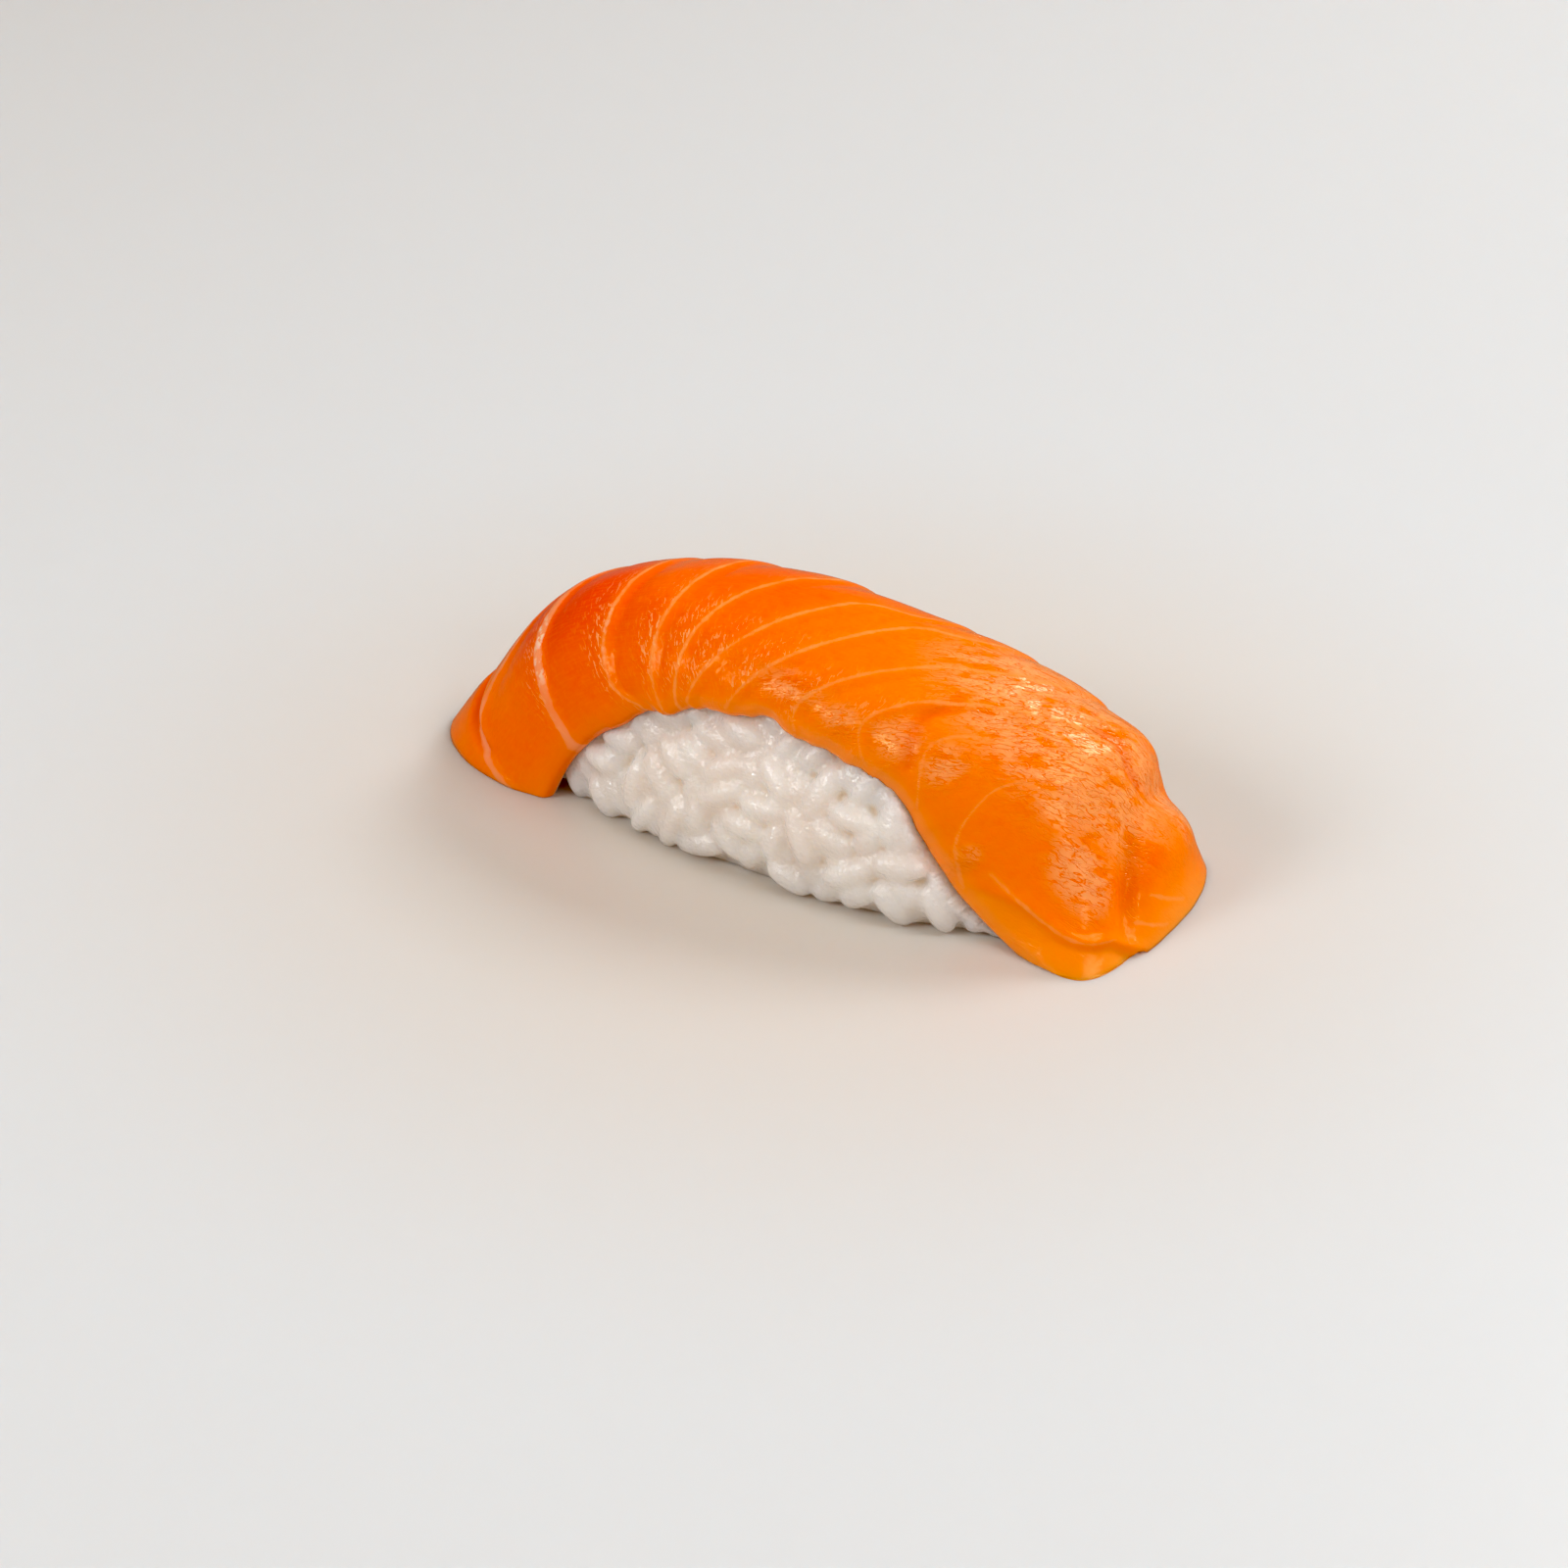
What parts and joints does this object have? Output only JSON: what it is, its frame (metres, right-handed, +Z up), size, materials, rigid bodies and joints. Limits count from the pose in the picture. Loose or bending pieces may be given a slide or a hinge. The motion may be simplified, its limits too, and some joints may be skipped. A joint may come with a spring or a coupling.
{
  "type": "salmon nigiri",
  "caption": "Nigiri sushi: a long slice of raw salmon draped over a hand-pressed oval bed of rice.",
  "frame": {"origin": "middle of the footprint, on the surface the nigiri rests on", "axes": "+X along the slice towards its rounded end, +Z up, -Y towards the side where most rice shows"},
  "size_m": [0.0837, 0.0322, 0.024],
  "materials": {
    "raw_salmon": "moist orange flesh with pale curved fat lines, slightly translucent",
    "sushi_rice": "sticky warm white grains, translucent with small moist glints"
  },
  "bodies": {
    "root": {"salmon_slice": "raw_salmon", "rice_bed": "sushi_rice"}
  },
  "joints": []
}
